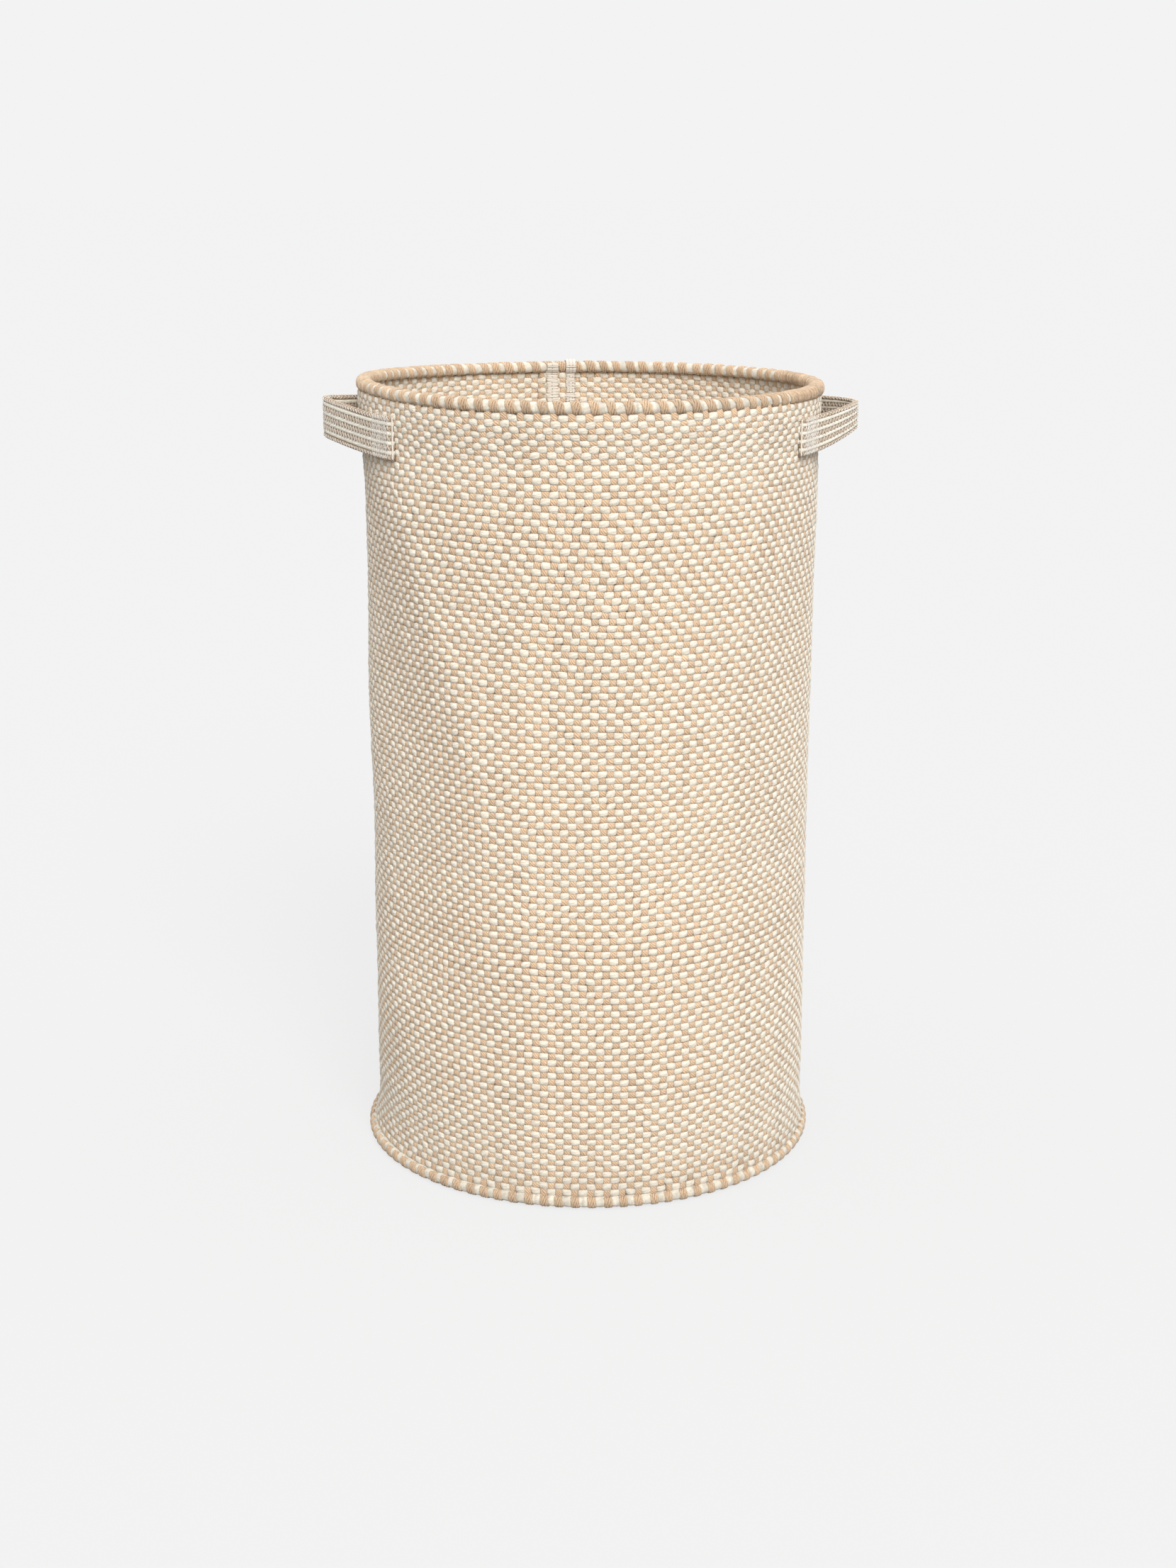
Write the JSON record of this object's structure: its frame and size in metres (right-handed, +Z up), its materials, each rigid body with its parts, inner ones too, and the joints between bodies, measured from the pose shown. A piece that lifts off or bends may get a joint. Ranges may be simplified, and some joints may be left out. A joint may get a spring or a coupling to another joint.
{
  "type": "fabric storage bin",
  "caption": "Tall round storage bin woven from thick cream and tan yarn, open at the top, with a whipped rim, a flat woven base and carrying loops at the sides.",
  "frame": {"origin": "centre of the base's underside, on the surface that the bin stands on", "axes": "+Z up along the bin's axis; +X through the middle of the right carrying loop; +Y towards the lapped seam at the back"},
  "size_m": [0.403, 0.3556, 0.6],
  "materials": {
    "woven_yarns": "thick cream and tan yarns together: plain weave, or wraps that alternate",
    "cream_yarn": "soft thick cotton yarn, matte, with fine hairs",
    "tan_yarn": "thick plied jute-like yarn, matte, with visible twist",
    "cream_thread": "thin cream sewing thread",
    "filler_cord": "plain rope core, hidden by the whipping"
  },
  "bodies": {
    "root": {"wall_panel": "woven_yarns", "base_panel": "woven_yarns", "rim_cord": "filler_cord", "rim_whipping": "woven_yarns", "hem_cord": "filler_cord", "hem_whipping": "woven_yarns", "base_stitching": "cream_yarn", "seam_stitching_left": "cream_yarn", "seam_stitching_right": "cream_yarn", "handle_left_front_end": "woven_yarns", "handle_left_front_stitching": "cream_thread", "handle_left_rear_end": "woven_yarns", "handle_left_rear_stitching": "cream_thread", "handle_right_front_end": "woven_yarns", "handle_right_front_stitching": "cream_thread", "handle_right_rear_end": "woven_yarns", "handle_right_rear_stitching": "cream_thread"},
    "handle_left_loop": {"handle_left_tan_cord_1": "tan_yarn", "handle_left_tan_cord_2": "tan_yarn", "handle_left_tan_cord_3": "tan_yarn", "handle_left_tan_cord_4": "tan_yarn", "handle_left_tan_cord_5": "tan_yarn", "handle_left_cream_cord_1": "cream_yarn", "handle_left_cream_cord_2": "cream_yarn", "handle_left_cream_cord_3": "cream_yarn", "handle_left_cream_cord_4": "cream_yarn"},
    "handle_right_loop": {"handle_right_tan_cord_1": "tan_yarn", "handle_right_tan_cord_2": "tan_yarn", "handle_right_tan_cord_3": "tan_yarn", "handle_right_tan_cord_4": "tan_yarn", "handle_right_tan_cord_5": "tan_yarn", "handle_right_cream_cord_1": "cream_yarn", "handle_right_cream_cord_2": "cream_yarn", "handle_right_cream_cord_3": "cream_yarn", "handle_right_cream_cord_4": "cream_yarn"}
  },
  "joints": [
    {"name": "handle_left_tilt", "type": "hinge", "parent": "root", "child": "handle_left_loop", "pos_m": [-0.179, 0, 0.56977], "axis": [0, 1, 0], "range_deg": [-28, 35], "stiffness_Nm_per_rad": 0.2},
    {"name": "handle_right_tilt", "type": "hinge", "parent": "root", "child": "handle_right_loop", "pos_m": [0.179, 0, 0.5706], "axis": [0, -1, 0], "range_deg": [-28, 35], "stiffness_Nm_per_rad": 0.2}
  ]
}
